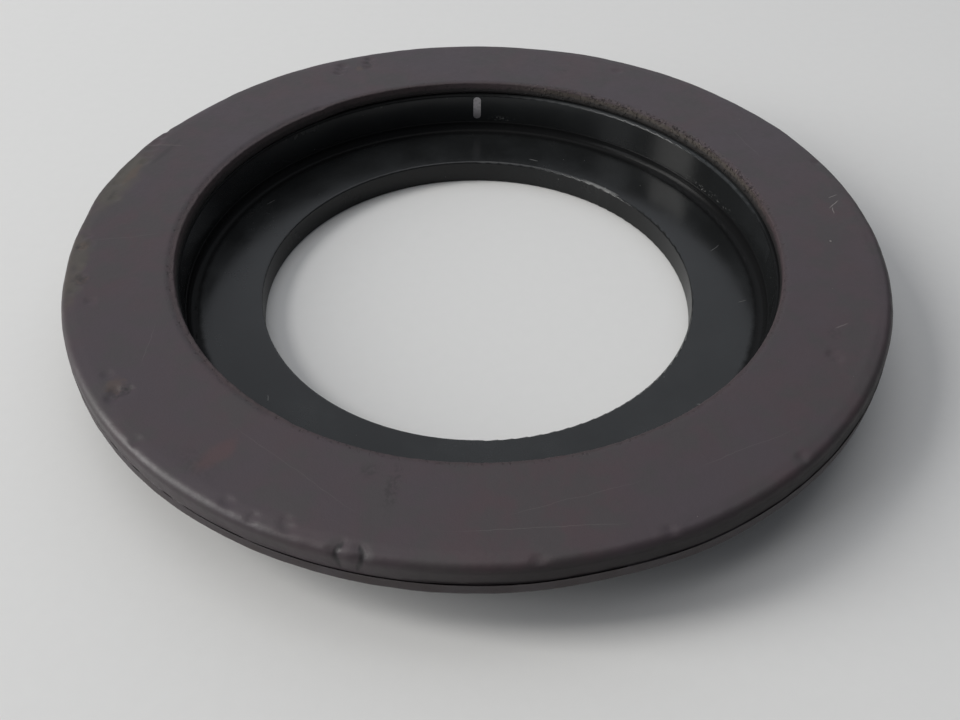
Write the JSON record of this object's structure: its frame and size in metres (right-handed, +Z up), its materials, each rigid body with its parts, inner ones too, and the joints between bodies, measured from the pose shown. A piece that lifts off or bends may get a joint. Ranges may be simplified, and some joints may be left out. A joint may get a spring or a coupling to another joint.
{
  "type": "toilet flange",
  "caption": "Round toilet flange: a black stepped socket hub with a waste opening, inside a rubber-faced brim ring that swivels round it.",
  "frame": {"origin": "on the flange's axis, at the underside that rests on the floor", "axes": "+Z up along the axis, out of the socket; +Y towards the alignment mark"},
  "size_m": [0.178, 0.178, 0.0195],
  "materials": {
    "hub_plastic": "glossy moulded black with dust and fine scratches",
    "sleeve_plastic": "glossy black",
    "mark_plastic": "dull light grey",
    "seal_rubber": "matte black",
    "core_plastic": "satin moulded black",
    "ring_steel": "zinc grey",
    "face_rubber": "aged, mottled brown with dents and worn patches",
    "back_rubber": "aged brown, darker than the face"
  },
  "bodies": {
    "hub": {"socket_hub": "hub_plastic", "retaining_sleeve": "sleeve_plastic", "mark_inlay": "mark_plastic", "pipe_seal": "seal_rubber", "swivel_seal": "seal_rubber"},
    "swivel_ring": {"ring_core": "core_plastic", "stiffening_ring": "ring_steel", "face_gasket": "face_rubber", "back_gasket": "back_rubber"}
  },
  "joints": [
    {"name": "ring_swivel", "type": "hinge", "parent": "hub", "child": "swivel_ring", "pos_m": [0, 0, 0.0129], "axis": [0, 0, 1], "continuous": true}
  ]
}
